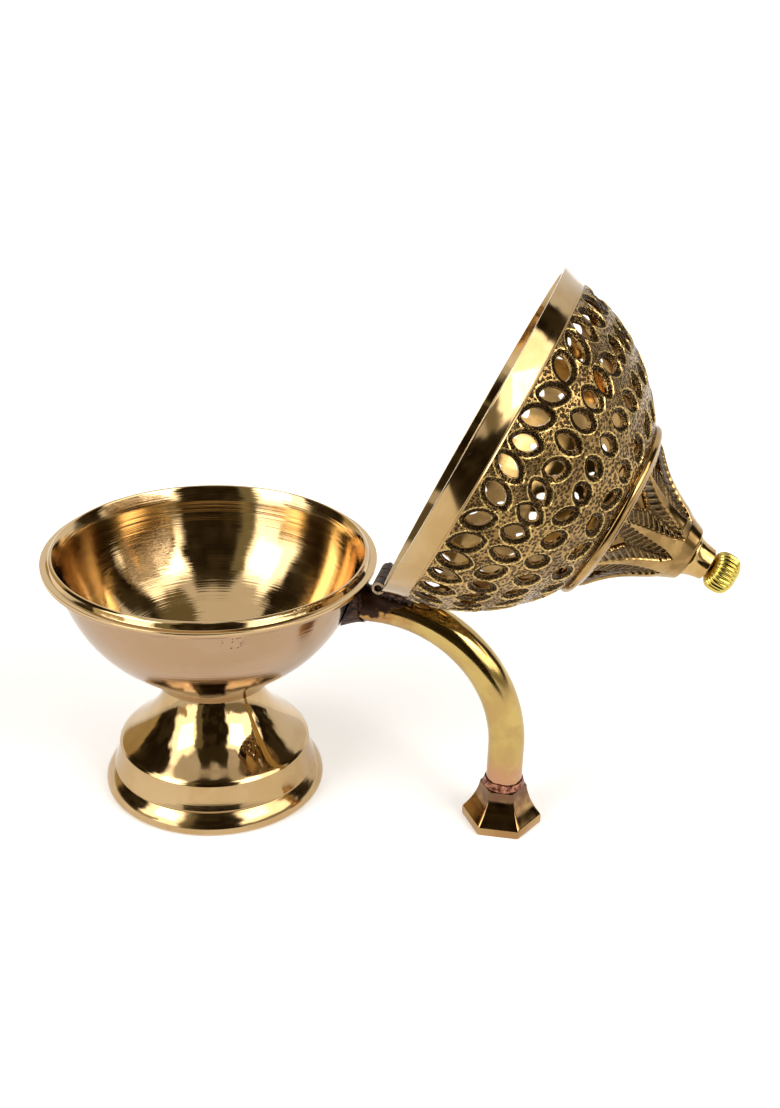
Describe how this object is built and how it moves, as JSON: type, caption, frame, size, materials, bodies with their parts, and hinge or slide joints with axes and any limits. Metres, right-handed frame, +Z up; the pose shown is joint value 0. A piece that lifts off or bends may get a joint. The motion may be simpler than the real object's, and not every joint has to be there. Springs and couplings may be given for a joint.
{
  "type": "handled incense burner",
  "caption": "Footed brass incense bowl with a bent tube handle on its own six-sided foot and a hinged, pierced, pointed lid with a reeded knob, lying open.",
  "frame": {"origin": "on the floor, under the middle of the whole object's box with the lid open", "axes": "+Z up, +X from the bowl towards the handle and the open lid, Y along the hinge pin"},
  "size_m": [0.209, 0.1042, 0.1762],
  "materials": {
    "polished_brass": "polished casting",
    "aged_brass": "pierced casting with dark recesses",
    "yellow_brass": "satin tube",
    "lemon_brass": "bright reeded knob",
    "scorched_brass": "blackened by brazing",
    "braze": "rough fillet",
    "steel": "plain"
  },
  "bodies": {
    "stand": {"pedestal": "polished_brass", "bowl": "polished_brass", "bowl_stud": "steel", "stud_washer": "steel", "stud_nut": "steel", "handle_tube": "yellow_brass", "handle_foot": "polished_brass", "handle_foot_braze": "braze", "handle_root_braze": "scorched_brass", "hinge_base_leaf": "scorched_brass", "hinge_base_braze": "scorched_brass", "hinge_pin": "scorched_brass"},
    "lid": {"pierced_lid": "aged_brass", "hinge_lid_leaf": "scorched_brass", "hinge_lid_braze": "scorched_brass", "knob_collar": "polished_brass", "knob": "lemon_brass", "knob_screw": "steel", "knob_nut": "steel"}
  },
  "joints": [
    {"name": "lid_hinge", "type": "hinge", "parent": "stand", "child": "lid", "pos_m": [0.00114, -0.0016, 0.0799], "axis": [0, 1, 0], "range_deg": [-115.2, 0]}
  ]
}
